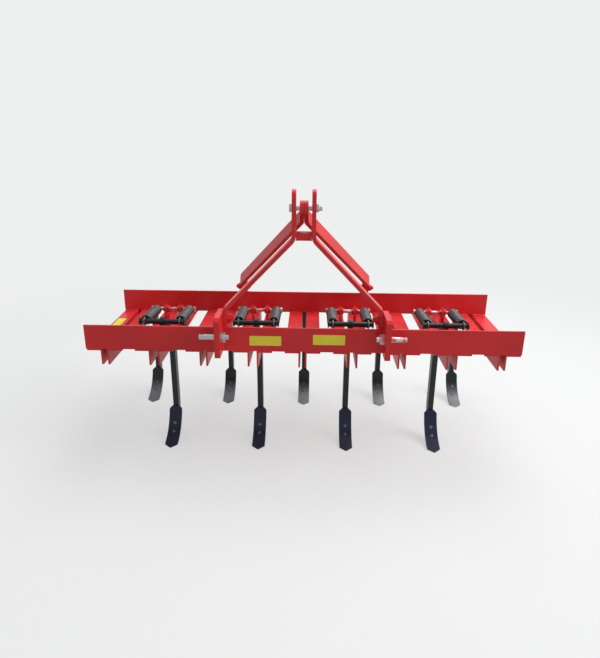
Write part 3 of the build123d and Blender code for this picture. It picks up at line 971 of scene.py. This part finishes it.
class CULTIVATOR_OT_plates(bpy.types.Operator):
    """Blank yellow plates on the front beam and one flange"""

    bl_idname = "cultivator.plates"
    bl_label = "Blank plates"

    def plate(self, name, middle, upward, out, half_sizes):
        """One plate whose width runs along X."""
        bm = bmesh.new()
        foil(bm, Vector(middle), RIGHT, upward, out, *half_sizes)
        new_piece(name, to_mesh(name, bm), ("blank_foil",), smooth=False)

    def execute(self, context):
        beam_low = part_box("front_beam")[0]
        for name, ((x, z), half_sizes) in BEAM_PLATES.items():
            self.plate(name, (x, beam_low.y, z), UP, -BACK, half_sizes)
        (x, y), half_sizes = FLANGE_PLATE
        self.plate("flange_plate", (x, y, beam_low.z), BACK, UP, half_sizes)
        return {"FINISHED"}


# Stage

# Camera, from a fit to the photograph
CAMERA_PLACE = (0.02866, -2.5079, 1.3905)
CAMERA_YAW = math.radians(-1.069)
CAMERA_PITCH = math.radians(19.722)
CAMERA_ROLL = math.radians(-0.512)
CAMERA_LENS = 34.153
CAMERA_SENSOR = 36.0

WORLD_STRENGTH = 0.40

# Columns: name, place, aim, side of the square, watts
LAMPS = (
    ("key", (5.6, -1.3, 4.6), (0, 0, 0.4), 3.6, 250),
    ("top", (1.0, 1.3, 4.6), (0, 0, 0.5), 3.4, 138),
)

# Floor: half its side, where it starts to fade and over how much, glow in what is seen, light thrown back
FLOOR_HALF = 6.0
FADE_FROM = 1.3
FADE_OVER = 2.4
FLOOR_GLOW = 0.6
FLOOR_BOUNCE = 0.55


def camera_matrix():
    """World matrix of the camera from its place, yaw, pitch and roll."""
    forward = Vector((
        math.sin(CAMERA_YAW) * math.cos(CAMERA_PITCH),
        math.cos(CAMERA_YAW) * math.cos(CAMERA_PITCH),
        -math.sin(CAMERA_PITCH)))
    right = Vector((math.cos(CAMERA_YAW), -math.sin(CAMERA_YAW), 0))
    down = forward.cross(right)
    across = math.cos(CAMERA_ROLL) * right + math.sin(CAMERA_ROLL) * down
    fall = -math.sin(CAMERA_ROLL) * right + math.cos(CAMERA_ROLL) * down
    turn = Matrix((across, -fall, -forward)).transposed().to_4x4()
    return Matrix.Translation(CAMERA_PLACE) @ turn


def soft_light(name, place, aim, size, watts):
    """Square soft light at place, aimed at a point."""
    light = bpy.data.lights.new(name, "AREA")
    light.size = size
    light.energy = watts
    lamp = bpy.data.objects.new(name, light)
    lamp.matrix_world = along(Vector(place) - Vector(aim), place)
    bpy.context.scene.collection.objects.link(lamp)


def pale_world(colour):
    """World that lights softly and shows the backdrop colour to the camera, to gloss and through glass."""
    world = bpy.data.worlds.new("pale_world")
    bpy.context.scene.world = world
    shader = Shader(world)
    sockets = {"Color": rgba((1, 1, 1)), "Strength": WORLD_STRENGTH}
    lit = shader.node("ShaderNodeBackground", sockets=sockets)
    shown = shader.node("ShaderNodeBackground", sockets={"Color": rgba(colour)})
    surface = shader.mix_shaders(shader.seen_ray(), lit, shown)
    shader.node("ShaderNodeOutputWorld", sockets={"Surface": surface})


def floor_finish(colour):
    """Pale floor that keeps the shadow, throws little light back and is clear far out and from below."""
    shader = Surface("pale_floor")
    mottled = shader.blend(shader.grain(6.0) * 0.05, colour, shade(colour, 0.97))
    lit = shader.node("ShaderNodeBsdfDiffuse", sockets={"Color": mottled})
    glow = shader.node("ShaderNodeEmission", sockets={"Color": rgba(colour), "Strength": 1.0})
    shown = shader.mix_shaders(FLOOR_GLOW, lit, glow)
    dim = shader.node("ShaderNodeBsdfDiffuse", sockets={"Color": rgba(shade(colour, FLOOR_BOUNCE))})
    opaque = shader.mix_shaders(shader.seen_ray(), dim, shown)
    clear = shader.node("ShaderNodeBsdfTransparent")
    far = shader.node("ShaderNodeVectorMath", {"operation": "LENGTH"}, {0: shader.places}, output="Value")
    below = shader.node("ShaderNodeNewGeometry", output="Backfacing")
    surface = shader.mix_shaders(far.over(FADE_FROM, FADE_OVER).or_more(below), opaque, clear)
    shader.node("ShaderNodeOutputMaterial", sockets={"Surface": surface})
    return shader.owner


class CULTIVATOR_OT_stage(bpy.types.Operator):
    """Pale floor, soft lights and the camera"""

    bl_idname = "cultivator.stage"
    bl_label = "Stage"

    def execute(self, context):
        scene = context.scene
        backdrop = scene.cultivator_colours.backdrop
        bm = bmesh.new()
        bmesh.ops.create_grid(bm, x_segments=8, y_segments=8, size=FLOOR_HALF)
        mesh = to_mesh("floor", bm)
        mesh.materials.append(floor_finish(backdrop))
        floor = bpy.data.objects.new("floor", mesh)
        scene.collection.objects.link(floor)

        pale_world(backdrop)
        for lamp in LAMPS:
            soft_light(*lamp)

        camera = bpy.data.cameras.new("camera")
        camera.sensor_fit = "HORIZONTAL"
        camera.sensor_width = CAMERA_SENSOR
        camera.lens = CAMERA_LENS
        viewer = bpy.data.objects.new("camera", camera)
        viewer.matrix_world = camera_matrix()
        scene.collection.objects.link(viewer)
        scene.camera = viewer
        scene.view_settings.view_transform = "Standard"
        return {"FINISHED"}


class CULTIVATOR_PT_panel(bpy.types.Panel):
    """Colours, sizes and the steps of the cultivator"""

    bl_label = "Cultivator"
    bl_idname = "CULTIVATOR_PT_panel"
    bl_space_type = "VIEW_3D"
    bl_region_type = "UI"
    bl_category = "Cultivator"

    def draw(self, context):
        layout = self.layout
        for group in (context.scene.cultivator_colours, context.scene.cultivator_sizes):
            for name in group.bl_rna.properties.keys():
                if name not in ("rna_type", "name"):
                    layout.prop(group, name)
        for operator in STEPS:
            layout.operator(operator.bl_idname)


STEPS = (
    CULTIVATOR_OT_finishes,
    CULTIVATOR_OT_shovel_bolts,
    CULTIVATOR_OT_springs,
    CULTIVATOR_OT_frame_nuts,
    CULTIVATOR_OT_welds,
    CULTIVATOR_OT_plates,
    CULTIVATOR_OT_stage,
)
CLASSES = (CultivatorColours, CultivatorSizes, *STEPS, CULTIVATOR_PT_panel)


def register():
    for each in CLASSES:
        bpy.utils.register_class(each)
    bpy.types.Scene.cultivator_colours = bpy.props.PointerProperty(type=CultivatorColours)
    bpy.types.Scene.cultivator_sizes = bpy.props.PointerProperty(type=CultivatorSizes)


def unregister():
    del bpy.types.Scene.cultivator_sizes
    del bpy.types.Scene.cultivator_colours
    for each in reversed(CLASSES):
        bpy.utils.unregister_class(each)


def main():
    """Makes every piece in order."""
    register()
    for operator in STEPS:
        group, name = operator.bl_idname.split(".")
        getattr(getattr(bpy.ops, group), name)()


if __name__ == "__main__":
    main()
